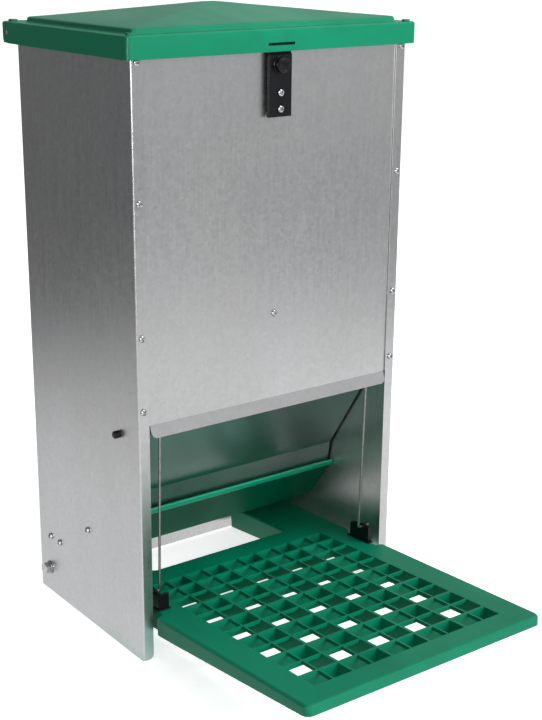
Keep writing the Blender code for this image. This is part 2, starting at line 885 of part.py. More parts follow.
def lid_rings(offset):
    """Outer rings for offset 0, inner rings for offset = wall."""
    box = inset(LID, offset)
    z_brim = LID_BRIM_Z - offset
    step = offset * 0.6
    rings = [ring(*box, max(1.2, 4.0 - offset), LID_EDGE_Z)]
    rings.append(ring(*box, max(1.2, 4.0 - offset), z_brim - 1.6))
    rings.append(ring(*inset(box, 0.5), max(1.0, 3.6 - offset), z_brim - 0.5))
    rings.append(ring(*inset(box, 1.6), max(0.8, 2.8 - offset), z_brim))
    plateau = inset(PLATEAU, step)
    rings.append(ring(*inset(plateau, -0.8), 4.5, z_brim))
    rings.append(ring(*plateau, 4.0, z_brim + 0.7))
    rings.append(ring(*inset(plateau, 0.5), 3.8, LID_STEP_Z - offset - 0.9))
    for f, g in ROOF:
        z = roof_z(g, LID_STEP_Z - offset - 0.6, LID_PEAK_Z - offset)
        rings.append(roof_ring(f, z, 3.6 * (1 - f) + 0.3, step))
    return rings


bm = bmesh.new()
levels = [[bm.verts.new(P(*p)) for p in r] for r in lid_rings(0.0)]
inner_levels = [[bm.verts.new(P(*p)) for p in r] for r in lid_rings(LID_WALL)]


def skin_rings(levels):
    for a, b in zip(levels, levels[1:]):
        for i in range(len(a)):
            j = (i + 1) % len(a)
            bm.faces.new((a[i], a[j], b[j], b[i]))


skin_rings(levels)
skin_rings(inner_levels)
for top, z in ((levels[-1], LID_PEAK_Z), (inner_levels[-1], LID_PEAK_Z - LID_WALL)):
    apex = bm.verts.new(P(*CENTRE, z))
    for i in range(len(top)):
        bm.faces.new((top[i], top[(i + 1) % len(top)], apex))
for i in range(len(levels[0])):
    j = (i + 1) % len(levels[0])
    bm.faces.new((levels[0][i], levels[0][j], inner_levels[0][j], inner_levels[0][i]))
hinge_at = P(0, *HINGE)
hinge_at.x = 0.0
lid = from_bm("lid", bm, GREEN_LID, origin=hinge_at, smooth=True)

nubs = [("z", (x, y, LID_BRIM_Z - 1.0), 2.6, 3.5) for x in (0.6, 269.4) for y in (0.8, 186.0)]
boolean(lid, cylinders("join_lid_nubs", nubs, sides=14), "UNION")
bm = bmesh.new()
add_box(bm, -3.0, W + 3.0, 187.5, 200, 480, 505.5)
corner = [(193.6, 494.0), (193.6, 503.5)]
for k in range(5):
    t = math.radians(90 * k / 4)
    corner.append((185.0 + 7.52 * math.cos(t), 503.3 - 7.52 * math.sin(t)))
corner.append((185.0, 494.0))
add_prism(bm, corner, None, -9.0, -3.9, frame_x)
add_prism(bm, corner, None, W + 3.9, W + 9.0, frame_x)
add_box(bm, 122.1, 147.9, -8.0, -2.0, 500.5, 502.7)
boolean(lid, from_bm("cut_lid_openings", bm, GREEN_LID, cutter=True))
boolean(
    lid,
    cylinders("cut_lid_rod_holes", [("x", (-9, *HINGE), 6.5, HINGE_R + GAP), ("x", (W + 2.5, *HINGE), 6.5, HINGE_R + GAP)]),
)

turned(
    "lid_hinge_rod",
    [(0, 277.0), (HINGE_R * 0.7, 277.0), (HINGE_R, 276.6), (HINGE_R, -6.6), (HINGE_R * 0.7, -7.0), (0, -7.0)],
    P(0, *HINGE),
    "+x",
    WIRE,
)
for side, x0 in (("left", 46.0), ("right", W - 72.0)):
    bracket = prism(
        f"{side}_hinge_bracket",
        [(180.6, 478.0), (181.8, 478.0), (181.8, 501.6), (184.0, 502.6), (184.0, 507.4), (180.6, 507.4)],
        x0,
        x0 + 26.0,
        frame_x,
        ZINC,
    )
    boolean(bracket, cylinders(f"join_{side}_eye", [("x", (x0 + 0.01, *HINGE), 25.98, 4.0)], sides=20), "UNION")
    boolean(bracket, cylinders(f"cut_{side}_eye", [("x", (x0 - 3, *HINGE), 32, HINGE_R + GAP)], sides=18))

# ---------------------------------------------------------------- latch
latch_at = P(135, -3.6, LATCH_AXIS_Z)
latch_section = [
    (-4.2, 445.0),
    (-3.0, 445.0),
    (-3.0, 493.4),
    (-1.7, 495.0),
    (-1.7, 505.0),
    (-2.9, 505.0),
    (-2.9, 502.4),
    (-3.2, 502.2),
    (-3.2, 500.9),
    (-2.9, 500.7),
    (-2.9, 494.6),
    (-4.2, 493.0),
]
latch_plate = prism("latch_plate", latch_section, *LATCH_X, frame_x, BLACK, origin=latch_at)
bm = bmesh.new()
for x0 in (LATCH_X[0] + 0.02, LATCH_X[1] - 1.42):
    add_box(bm, x0, x0 + 1.4, -3.5, -1.0, 445.02, 492.4)
for z in (451.2, 463.9):
    add_prism(bm, circle(135.0, z, 3.4, 16), None, -3.4, 0.6, frame_y)
boolean(latch_plate, from_bm("join_latch_walls", bm, BLACK, cutter=True), "UNION")
boolean(
    latch_plate,
    cylinders("cut_latch_holes", [("y", (135.0, -8, z), 12, 1.9) for z in (451.2, 463.9)]),
)
turned(
    "latch_knob",
    [(0, 4.6), (2.6, 4.4), (4.7, 3.7), (5.9, 2.5), (6.3, 1.2), (6.3, 0), (0, 0)],
    P(KNOB[0], -4.2 - GAP, KNOB[1]),
    "-y",
    BLACK,
    steps=20,
)
for name, z in (("lower", 451.2), ("upper", 463.9)):
    screw(f"latch_screw_{name}", P(135.0, -4.7, z), "-y", 2.9, 1.8, 1.4, 9.5)
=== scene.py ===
import json
import math

import bmesh
import bpy
from mathutils import Matrix, Vector

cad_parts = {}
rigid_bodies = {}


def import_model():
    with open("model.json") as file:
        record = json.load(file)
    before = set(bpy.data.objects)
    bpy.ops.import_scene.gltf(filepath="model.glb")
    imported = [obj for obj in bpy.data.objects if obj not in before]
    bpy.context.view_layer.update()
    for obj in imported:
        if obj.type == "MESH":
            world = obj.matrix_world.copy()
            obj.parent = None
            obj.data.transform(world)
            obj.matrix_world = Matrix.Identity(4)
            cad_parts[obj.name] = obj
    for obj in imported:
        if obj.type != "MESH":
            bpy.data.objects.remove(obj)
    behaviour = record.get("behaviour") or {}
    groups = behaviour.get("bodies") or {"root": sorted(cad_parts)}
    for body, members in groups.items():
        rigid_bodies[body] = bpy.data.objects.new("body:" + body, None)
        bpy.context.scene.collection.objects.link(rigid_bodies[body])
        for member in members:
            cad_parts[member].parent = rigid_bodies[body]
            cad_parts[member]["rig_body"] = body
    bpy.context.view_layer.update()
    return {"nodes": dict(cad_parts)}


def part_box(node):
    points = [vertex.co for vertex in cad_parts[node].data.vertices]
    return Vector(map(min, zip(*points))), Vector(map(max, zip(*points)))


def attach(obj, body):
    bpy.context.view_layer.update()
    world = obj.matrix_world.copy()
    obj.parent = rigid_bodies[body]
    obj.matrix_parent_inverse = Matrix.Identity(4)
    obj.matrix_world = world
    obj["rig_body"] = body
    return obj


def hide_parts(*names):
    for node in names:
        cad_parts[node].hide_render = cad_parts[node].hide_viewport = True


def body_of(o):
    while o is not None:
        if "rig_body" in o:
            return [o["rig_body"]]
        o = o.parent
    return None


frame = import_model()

scene = bpy.context.scene
nodes = frame["nodes"]

# ------------------------------------------------------------------ node helpers


class Nodes:
    """A small builder for a material's node tree."""

    def __init__(self, name):
        self.material = bpy.data.materials.new(name)
        self.material.use_nodes = True
        self.tree = self.material.node_tree
        self.shader = self.tree.nodes["Principled BSDF"]
        self.coords = self.tree.nodes.new("ShaderNodeTexCoord").outputs["Object"]

    def new(self, kind, **settings):
        node = self.tree.nodes.new(kind)
        for key, value in settings.items():
            setattr(node, key, value)
        return node

    def link(self, a, b):
        self.tree.links.new(a, b)

    def mapping(self, scale, rotation=(0, 0, 0), location=(0, 0, 0)):
        node = self.new("ShaderNodeMapping")
        node.inputs["Scale"].default_value = scale
        node.inputs["Rotation"].default_value = rotation
        node.inputs["Location"].default_value = location
        self.link(self.coords, node.inputs["Vector"])
        return node.outputs["Vector"]

    def noise(self, scale, detail=3.0, rough=0.55, stretch=(1, 1, 1), offset=(0, 0, 0), distortion=0.0):
        node = self.new("ShaderNodeTexNoise")
        node.inputs["Scale"].default_value = scale
        node.inputs["Detail"].default_value = detail
        node.inputs["Roughness"].default_value = rough
        node.inputs["Distortion"].default_value = distortion
        self.link(self.mapping(stretch, location=offset), node.inputs["Vector"])
        return node.outputs["Fac"]

    def voronoi(self, scale, feature="F1", output="Color", stretch=(1, 1, 1)):
        node = self.new("ShaderNodeTexVoronoi", feature=feature)
        node.inputs["Scale"].default_value = scale
        self.link(self.mapping(stretch), node.inputs["Vector"])
        return node.outputs[output]

    def remap(self, value, low, high, to_low, to_high, smooth=False):
        node = self.new("ShaderNodeMapRange")
        if smooth:
            node.interpolation_type = "SMOOTHSTEP"
        node.inputs["From Min"].default_value = low
        node.inputs["From Max"].default_value = high
        node.inputs["To Min"].default_value = to_low
        node.inputs["To Max"].default_value = to_high
        self.link(value, node.inputs["Value"])
        return node.outputs["Result"]

    def math(self, operation, a, b=None):
        node = self.new("ShaderNodeMath", operation=operation)
        for socket, value in zip(node.inputs, (a, b)):
            if value is None:
                continue
            if isinstance(value, (int, float)):
                socket.default_value = value
            else:
                self.link(value, socket)
        return node.outputs[0]

    def mix(self, factor, a, b, blend="MIX"):
        node = self.new("ShaderNodeMix", data_type="RGBA", blend_type=blend)
        for socket, value in ((node.inputs["Factor"], factor), (node.inputs[6], a), (node.inputs[7], b)):
            if isinstance(value, (int, float)):
                socket.default_value = value
            elif isinstance(value, tuple):
                socket.default_value = (*value, 1.0)
            else:
                self.link(value, socket)
        return node.outputs[2]

    def bump(self, height, strength, distance=0.001, normal=None):
        node = self.new("ShaderNodeBump")
        node.inputs["Strength"].default_value = strength
        node.inputs["Distance"].default_value = distance
        self.link(height, node.inputs["Height"])
        if normal is not None:
            self.link(normal, node.inputs["Normal"])
        return node.outputs["Normal"]

    def axis(self, which):
        node = self.new("ShaderNodeSeparateXYZ")
        self.link(self.coords, node.inputs[0])
        return node.outputs[which]

    def set(self, **values):
        names = {
            "color": "Base Color",
            "metallic": "Metallic",
            "roughness": "Roughness",
            "normal": "Normal",
            "specular": "Specular IOR Level",
            "coat": "Coat Weight",
            "coat_roughness": "Coat Roughness",
            "anisotropic": "Anisotropic",
        }
        for key, value in values.items():
            socket = self.shader.inputs[names[key]]
            if isinstance(value, (int, float)):
                socket.default_value = value
            elif isinstance(value, tuple):
                socket.default_value = (*value, 1.0)
            else:
                self.link(value, socket)
        return self.material


def galvanised(name, tone=1.0, rough=0.32, seed=0.0, bold=1.0):
    """Hot-dip sheet: fine upright rolling grain, small spangle, handling smudges and dull spots."""
    n = Nodes(name)
    grain = n.noise(420, 4, 0.65, stretch=(1, 1, 0.05), offset=(seed, seed, 0))
    broad = n.noise(30, 3, 0.5, stretch=(1, 1, 0.08), offset=(seed, 2, 0))
    smudge = n.noise(6, 4, 0.6, offset=(seed, 0, 5), distortion=0.6)
    spangle = n.voronoi(330, output="Color")
    fleck = n.new("ShaderNodeSeparateColor")
    n.link(spangle, fleck.inputs[0])
    speck = n.noise(900, 3, 0.6, offset=(0, seed, 3))
    value = n.remap(grain, 0.3, 0.7, 0.975, 1.025)
    value = n.math("MULTIPLY", value, n.remap(broad, 0.3, 0.7, 0.985, 1.015))
    value = n.math("MULTIPLY", value, n.remap(fleck.outputs[0], 0.0, 1.0, 1.0 - 0.035 * bold, 1.0 + 0.03 * bold))
    value = n.math("MULTIPLY", value, n.remap(speck, 0.3, 0.7, 1.0 - 0.035 * bold, 1.0 + 0.035 * bold))
    value = n.math("MULTIPLY", value, n.remap(smudge, 0.35, 0.7, 1.02, 0.96))
    cool = n.mix(n.remap(smudge, 0.35, 0.65, 0, 1), (0.615 * tone, 0.62 * tone, 0.63 * tone), (0.64 * tone, 0.635 * tone, 0.625 * tone))
    shade = n.new("ShaderNodeVectorMath", operation="SCALE")
    n.link(cool, shade.inputs[0])
    n.link(value, shade.inputs["Scale"])
    roughness = n.math(
        "ADD",
        n.remap(grain, 0.3, 0.7, rough - 0.02, rough + 0.03),
        n.math("ADD", n.remap(smudge, 0.4, 0.7, 0.0, 0.05), n.remap(fleck.outputs[1], 0.0, 1.0, -0.03 * bold, 0.03 * bold)),
    )
    normal = n.bump(speck, 0.05 * bold * bold, 0.0002)
    normal = n.bump(grain, 0.05 * bold, 0.0003, normal)
    normal = n.bump(n.noise(7, 2, 0.5, offset=(seed, 8, 1)), 0.05, 0.004, normal)
    return n.set(color=shade.outputs[0], metallic=1.0, roughness=roughness, normal=normal)


def moulded(name, colour, dark, rough, texture=0.10, gloss=0.5, grain=900, scuffed=0.25):
    """Injection-moulded plastic: fine spark-eroded texture, slight flow and dust marks, paler scuffs."""
    n = Nodes(name)
    fine = n.noise(grain, 3, 0.6)
    pits = n.voronoi(grain * 0.75, output="Distance")
    flow = n.noise(9, 3, 0.55, stretch=(1, 0.5, 1), distortion=1.2)
    scratch = n.noise(60, 5, 0.7, stretch=(1.0, 0.09, 1.0), distortion=0.4)
    scratch_b = n.noise(55, 5, 0.7, stretch=(0.08, 1.0, 1.0), offset=(3, 1, 0), distortion=0.4)
    marks = n.math("MAXIMUM", n.remap(scratch, 0.66, 0.74, 0, 1), n.remap(scratch_b, 0.67, 0.75, 0, 1))
    base = n.mix(n.remap(flow, 0.35, 0.65, 0, 1, True), colour, dark)
    pale = tuple(min(1.0, c * 1.5 + 0.012) for c in colour)
    base = n.mix(n.math("MULTIPLY", marks, scuffed), base, pale)
    base = n.mix(n.remap(fine, 0.35, 0.75, 0.0, 0.10), base, pale)
    roughness = n.math(
        "ADD",
        n.remap(flow, 0.3, 0.7, rough - 0.03, rough + 0.05),
        n.math("ADD", n.math("MULTIPLY", marks, 0.10), n.remap(fine, 0.3, 0.7, -0.03, 0.03)),
    )
    normal = n.bump(fine, texture, 0.0004)
    normal = n.bump(pits, texture * 0.6, 0.0003, normal)
    normal = n.bump(n.noise(14, 2, 0.5, offset=(2, 2, 2)), 0.06, 0.003, normal)
    return n.set(color=base, roughness=roughness, normal=normal, specular=gloss)


def plated(name, tint, rough, lines_depth=0.12):
    """Zinc-plated or drawn steel: bright, with fine turned lines and dull spots."""
    n = Nodes(name)
    lines = n.noise(1400, 2, 0.5, stretch=(1, 1, 0.15))
    spots = n.noise(240, 4, 0.6)
    value = n.mix(n.remap(spots, 0.4, 0.7, 0, 1), tint, tuple(c * 0.72 for c in tint))
    roughness = n.math("ADD", n.remap(spots, 0.35, 0.7, rough - 0.04, rough + 0.12), n.remap(lines, 0.3, 0.7, -0.03, 0.03))
    normal = n.bump(lines, lines_depth, 0.0002)
    return n.set(color=value, metallic=1.0, roughness=roughness, normal=normal)


galv_side = galvanised("galvanised_side", 1.0, 0.30, 0.0)
galv_front = galvanised("galvanised_front", 1.0, 0.33, 4.0)
galv_flap = galvanised("galvanised_flap", 0.80, 0.30, 7.0, bold=0.25)
lid_green = moulded("lid_moulding", (0.0, 0.232, 0.118), (0.0, 0.200, 0.100), 0.34, texture=0.09, gloss=0.22, scuffed=0.08)
deck_green = moulded("treadle_moulding", (0.0, 0.194, 0.101), (0.0, 0.160, 0.083), 0.40, texture=0.14, gloss=0.22, scuffed=0.22)
# trough wall: a darkened green, painted shade for a wall that faces down
trough_green_painted_shade = moulded("trough_moulding_painted_shade", (0.0, 0.088, 0.044), (0.0, 0.072, 0.036), 0.40, texture=0.05, gloss=0.02, scuffed=0.18)
# trough lip: a much lighter green than its trough, a painted highlight for the light it catches
lip_green_painted_highlight = moulded("lip_moulding_painted_highlight", (0.0, 0.330, 0.180), (0.0, 0.300, 0.160), 0.32, texture=0.04, gloss=0.40, scuffed=0.20)
black = moulded("black_moulding", (0.006, 0.006, 0.008), (0.004, 0.004, 0.005), 0.28, texture=0.05, gloss=0.28, scuffed=0.20)
lid_green.node_tree.nodes["Principled BSDF"].inputs["Coat Weight"].default_value = 0.14
lid_green.node_tree.nodes["Principled BSDF"].inputs["Coat Roughness"].default_value = 0.14
zinc = plated("zinc_plate", (0.66, 0.67, 0.69), 0.22)
wire = plated("drawn_wire", (0.44, 0.43, 0.42), 0.40, 0.02)

BY_NODE = {
    "body_shell": galv_side,
    "front_panel": galv_front,
    "hopper_baffle": galv_front,
    "trough": trough_green_painted_shade,
    "flap": galv_flap,
    "lid": lid_green,
    "treadle": deck_green,
    "lid_hinge_rod": wire,
    "flap_axle": wire,
    "left_lift_rod": wire,
    "right_lift_rod": wire,
}
for name, obj in nodes.items():
    if name in BY_NODE:
        chosen = BY_NODE[name]
    elif any(word in name for word in ("cap", "clip", "latch_plate", "latch_knob")):
        chosen = black
    else:
        chosen = zinc
    if not obj.data.materials:
        obj.data.materials.append(chosen)
    for slot in obj.material_slots:
        slot.material = chosen

# ------------------------------------------------------------------ softened edges on the CAD solids


def smooth_group():
    group = bpy.data.node_groups.new("shade_by_angle", "GeometryNodeTree")
    group.interface.new_socket("Geometry", in_out="INPUT", socket_type="NodeSocketGeometry")
    group.interface.new_socket("Geometry", in_out="OUTPUT", socket_type="NodeSocketGeometry")
    start = group.nodes.new("NodeGroupInput")
    end = group.nodes.new("NodeGroupOutput")
    faces = group.nodes.new("GeometryNodeSetShadeSmooth")
    faces.domain = "FACE"
    faces.inputs["Shade Smooth"].default_value = True
    edges = group.nodes.new("GeometryNodeSetShadeSmooth")
    edges.domain = "EDGE"
    edges.inputs["Shade Smooth"].default_value = False
    angle = group.nodes.new("GeometryNodeInputMeshEdgeAngle")
    compare = group.nodes.new("FunctionNodeCompare")
    compare.data_type = "FLOAT"
    compare.operation = "GREATER_THAN"
    compare.inputs[1].default_value = math.radians(33)
    links = group.links
    links.new(start.outputs[0], faces.inputs["Geometry"])
    links.new(faces.outputs["Geometry"], edges.inputs["Geometry"])
    links.new(angle.outputs["Unsigned Angle"], compare.inputs[0])
    links.new(compare.outputs[0], edges.inputs["Selection"])
    links.new(edges.outputs["Geometry"], end.inputs[0])
    return group


SMOOTH = smooth_group()


def soften(obj, width, segments=2, angle=35.0):
    weld = obj.modifiers.new("weld", "WELD")
    weld.merge_threshold = 0.00001
    if width:
        bevel = obj.modifiers.new("edges", "BEVEL")
        bevel.width = width
        bevel.segments = segments
        bevel.limit_method = "ANGLE"
        bevel.angle_limit = math.radians(angle)
        bevel.use_clamp_overlap = True
    smooth = obj.modifiers.new("smooth", "NODES")
    smooth.node_group = SMOOTH
    even = obj.modifiers.new("even_normals", "WEIGHTED_NORMAL")
    even.mode = "FACE_AREA"
    even.weight = 100
    even.keep_sharp = True


EDGES = {
    "body_shell": 0.00025,
    "front_panel": 0.0002,
    "hopper_baffle": 0.0002,
    "trough": 0.0002,
    "flap": 0.0,
    "lid": 0.0005,
    "treadle": 0.0,
    "latch_plate": 0.0004,
    "latch_knob": 0.0004,
    "left_rod_clip": 0.0007,
    "right_rod_clip": 0.0007,
}
for name, obj in nodes.items():
    soften(obj, EDGES.get(name, 0.00025 if "pivot" in name or "bracket" in name or "lever" in name else 0.0))

# ------------------------------------------------------------------ pieces finer than the CAD solids

MM = 0.001


def at(x, y, z):
    """Millimetres from the left, front and floor faces of the sheet body, in the row frame."""
    return Vector(((x - 135.0) * MM, (y + 5.77) * MM, z * MM))


def finish_piece(name, mesh, material, body, *stands_for):
    obj = bpy.data.objects.new(name, mesh)
    scene.collection.objects.link(obj)
    mesh.materials.clear()
    mesh.materials.append(material)
    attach(obj, body[0])
    if stands_for:
        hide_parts(*stands_for)
    return obj


def revolve(profile, steps=40):
    """profile: (radius, height) in millimetres, from the axis at the top to the axis at the bottom."""
    bm = bmesh.new()
    rings = []
    for r, h in profile:
        if r < 1e-6:
            rings.append([bm.verts.new((0, 0, h * MM))])
        else:
            rings.append(
                [
                    bm.verts.new((r * MM * math.cos(2 * math.pi * k / steps), r * MM * math.sin(2 * math.pi * k / steps), h * MM))
                    for k in range(steps)
                ]
            )
    for a, b in zip(rings, rings[1:]):
        for k in range(steps):
            j = (k + 1) % steps
            if len(a) == 1:
                bm.faces.new((a[0], b[k], b[j]))
            elif len(b) == 1:
                bm.faces.new((a[k], b[0], a[j]))
            else:
                bm.faces.new((a[k], b[k], b[j], a[j]))
    bmesh.ops.recalc_face_normals(bm, faces=bm.faces)
    mesh = bpy.data.meshes.new("turned")
    bm.to_mesh(mesh)
    bm.free()
    return mesh


def combined(mesh, cutters, operation="DIFFERENCE"):
    """A new mesh: this one with each cutter mesh taken away or joined."""
    base = bpy.data.objects.new("base", mesh)
    scene.collection.objects.link(base)
    helpers = []
    for cutter in cutters:
        helper = bpy.data.objects.new("cutter", cutter)
        scene.collection.objects.link(helper)
        modifier = base.modifiers.new("cut", "BOOLEAN")
        modifier.operation = operation
        modifier.solver = "EXACT"
        modifier.object = helper
        helpers.append(helper)
    bpy.context.view_layer.update()
    graph = bpy.context.evaluated_depsgraph_get()
    result = bpy.data.meshes.new_from_object(base.evaluated_get(graph))
    for obj in [base] + helpers:
        bpy.data.objects.remove(obj)
    return result


def block(low, high, top_scale=1.0):
    bm = bmesh.new()
    cx, cy = (low[0] + high[0]) / 2, (low[1] + high[1]) / 2
    corners = []
    for z, s in ((low[2], 1.0 / top_scale), (high[2], 1.0)):
        for x, y in ((low[0], low[1]), (high[0], low[1]), (high[0], high[1]), (low[0], high[1])):
            corners.append(bm.verts.new(((cx + (x - cx) * s) * MM, (cy + (y - cy) * s) * MM, z * MM)))
    bm.faces.new(corners[3::-1])
    bm.faces.new(corners[4:])
    for i in range(4):
        j = (i + 1) % 4
        bm.faces.new((corners[i], corners[j], corners[4 + j], corners[4 + i]))
    mesh = bpy.data.meshes.new("block")
    bm.to_mesh(mesh)
    bm.free()
    return mesh


def screw_mesh(head_r, head_h, turn):
    profile = [
        (0, head_h),
        (head_r * 0.30, head_h * 0.985),
        (head_r * 0.55, head_h * 0.93),
        (head_r * 0.75, head_h * 0.81),
        (head_r * 0.90, head_h * 0.60),
        (head_r * 0.98, head_h * 0.34),
        (head_r, head_h * 0.12),
        (head_r * 0.985, 0.0),
        (head_r * 0.47, 0.0),
        (head_r * 0.47, -4.5),
        (0, -5.0),
    ]
    arm, half = head_r * 0.62, head_r * 0.155
    cross = [
        block((-arm, -half, head_h * 0.25), (arm, half, head_h + 1.0), 1.35),
        block((-half, -arm, head_h * 0.25), (half, arm, head_h + 1.0), 1.35),
    ]
    mesh = combined(revolve(profile, 32), cross)
    mesh.transform(Matrix.Rotation(math.radians(turn), 4, "Z"))
    return mesh


OUT = {
    "-y": Matrix(((1, 0, 0), (0, 0, -1), (0, 1, 0))).to_4x4(),
    "-x": Matrix(((0, 0, -1), (1, 0, 0), (0, -1, 0))).to_4x4(),
    "+x": Matrix(((0, 0, 1), (1, 0, 0), (0, 1, 0))).to_4x4(),
}
TURNS = (12, 47, 71, 28, 5, 58, 33, 80, 19, 64)
screws = [name for name in sorted(nodes) if "screw" in name]
for index, name in enumerate(screws):
    low, high = (Vector(c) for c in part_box(name))
    middle = (low + high) / 2
    trough_side = "trough" in name
    head_r, head_h = (3.0, 2.0) if trough_side else (2.8, 1.8)
    if trough_side:
        facing = "-x" if name.startswith("left") else "+x"
    else:
        facing = "-y"
        head_r = (high.x - low.x) / MM / 2
    if facing == "-y":
        base = Vector((middle.x, low.y + head_h * MM, middle.z))
    elif facing == "-x":
        base = Vector((low.x + head_h * MM, middle.y, middle.z))
    else:
        base = Vector((high.x - head_h * MM, middle.y, middle.z))
    mesh = screw_mesh(head_r, head_h, TURNS[index % len(TURNS)])
    mesh.transform(Matrix.Translation(base) @ OUT[facing])
    piece = finish_piece(name + "_crossed", mesh, zinc, body_of(nodes[name]), name)
    soften(piece, 0.0)

# push knob: a flanged button with a dished face
knob = revolve(
    [
        (0, 3.3),
        (3.2, 3.4),
        (4.3, 3.9),
        (4.9, 4.5),
        (5.5, 4.75),
        (6.1, 4.5),
        (6.45, 3.9),
        (6.55, 2.3),
        (6.1, 1.9),
        (6.1, 1.5),
        (7.1, 1.3),
        (7.45, 0.9),
        (7.5, 0.0),
        (0, 0),
    ],
    56,
)
knob.transform(Matrix.Translation(at(135.0, -4.25, 485.5)) @ OUT["-y"])
knob = finish_piece("latch_button", knob, black, body_of(nodes["latch_knob"]), "latch_knob")
soften(knob, 0.0)

# rod clips: a side plate that carries the rod's eye, a front web and a foot flange on the deck


def deck_z(y):
    return 40.6 - 0.0631 * y


def add_prism_x(bm, outline, x0, x1):
    low = [bm.verts.new(at(x0, y, z)) for y, z in outline]
    high = [bm.verts.new(at(x1, y, z)) for y, z in outline]
    bm.faces.new(low)
    bm.faces.new(high[::-1])
    for i in range(len(outline)):
        j = (i + 1) % len(outline)
        bm.faces.new((low[i], high[i], high[j], low[j]))


def ring(y, z, r, count=20):
    return [(y + r * math.cos(2 * math.pi * k / count), z + r * math.sin(2 * math.pi * k / count)) for k in range(count)]


def clip_mesh(plate_x, web_x, outer_face):
    """plate_x: the side plate's span; web_x: how far the front web reaches; outer_face: where the rod's eye boss is."""
    bm = bmesh.new()

    def prism(outline, a, b):
        add_prism_x(bm, outline, min(a, b), max(a, b))

    foot = deck_z
    plate = [
        (3.6, foot(3.6) + 0.2),
        (29.5, foot(29.5) + 0.2),
        (29.5, 51.8),
        (28.9, 53.4),
        (27.2, 54.4),
        (21.0, 55.9),
        (19.4, 55.5),
        (18.2, 54.0),
        (16.8, 54.0),
        (16.0, 55.4),
        (14.6, 57.1),
        (12.2, 57.9),
        (9.4, 57.3),
        (7.6, 56.0),
        (5.4, 56.6),
        (4.2, 56.1),
        (3.6, 55.0),
    ]
    prism(plate, *plate_x)
    web = [(3.6, foot(3.6) + 0.2), (6.0, foot(6.0) + 0.2), (6.0, 54.6), (5.5, 55.4), (4.2, 55.4), (3.6, 54.6)]
    prism(web, *web_x)
    rear = [(27.2, foot(27.2) + 0.2), (29.5, foot(29.5) + 0.2), (29.5, 50.4), (28.8, 51.0), (27.2, 50.2)]
    prism(rear, *web_x)
    brace = [(5.0, foot(5.0) + 0.2), (28.0, foot(28.0) + 0.2), (28.0, 43.6), (5.0, 45.4)]
    prism(brace, *web_x)
    flange = [(1.6, foot(1.6) + 0.2), (32.4, foot(32.4) + 0.2), (32.0, foot(32.0) + 1.3), (2.0, foot(2.0) + 1.3)]
    low, high = min(plate_x[0], *web_x), max(plate_x[1], *web_x)
    prism(flange, low - 0.9, high + 0.9)
    prism(ring(12.66, 54.5, 3.0), outer_face - 0.8, outer_face + 0.8)
    bmesh.ops.recalc_face_normals(bm, faces=bm.faces)
    mesh = bpy.data.meshes.new("clip")
    bm.to_mesh(mesh)
    bm.free()
    return mesh


CLIPS = {
    "left": ((18.3, 20.8), (20.6, 28.6), 18.3),
    "right": ((249.2, 251.7), (251.5, 253.6), 251.7),
}
for side, (plate_x, web_x, outer_face) in CLIPS.items():
    node = side + "_rod_clip"
    piece = finish_piece(node + "_bracket", clip_mesh(plate_x, web_x, outer_face), black, body_of(nodes[node]), node)
    soften(piece, 0.00035, 2, 40)

# trough: the thickened lip that a bird's beak meets, drawn in a much lighter green as a painted highlight
lip = bmesh.new()
add_prism_x(
    lip,
    [(80.6, 94.2), (81.2, 95.2), (82.4, 95.5), (83.4, 94.9), (85.1, 91.0), (85.2, 90.2), (84.4, 89.4), (83.3, 89.3), (82.6, 89.8), (80.9, 93.2)],
    1.8,
    268.2,
)
bmesh.ops.recalc_face_normals(lip, faces=lip.faces)
lip_mesh = bpy.data.meshes.new("trough_lip")
lip.to_mesh(lip_mesh)
lip.free()
lip_piece = finish_piece("trough_lip", lip_mesh, lip_green_painted_highlight, body_of(nodes["trough"]))
soften(lip_piece, 0.0003, 2, 25)

# lid: the CAD moulding with its rear wall standing further back over the hinge line
lid_mesh = nodes["lid"].data.copy()
for vertex in lid_mesh.vertices:
    y = vertex.co.y / MM - 5.77
    if y > 186.0:
        vertex.co.y = (186.0 + (y - 186.0) * 1.8 + 5.77) * MM
lid_piece = finish_piece("lid_moulding", lid_mesh, lid_green, body_of(nodes["lid"]), "lid")
soften(lid_piece, 0.0005)

# ------------------------------------------------------------------ stage, light and camera


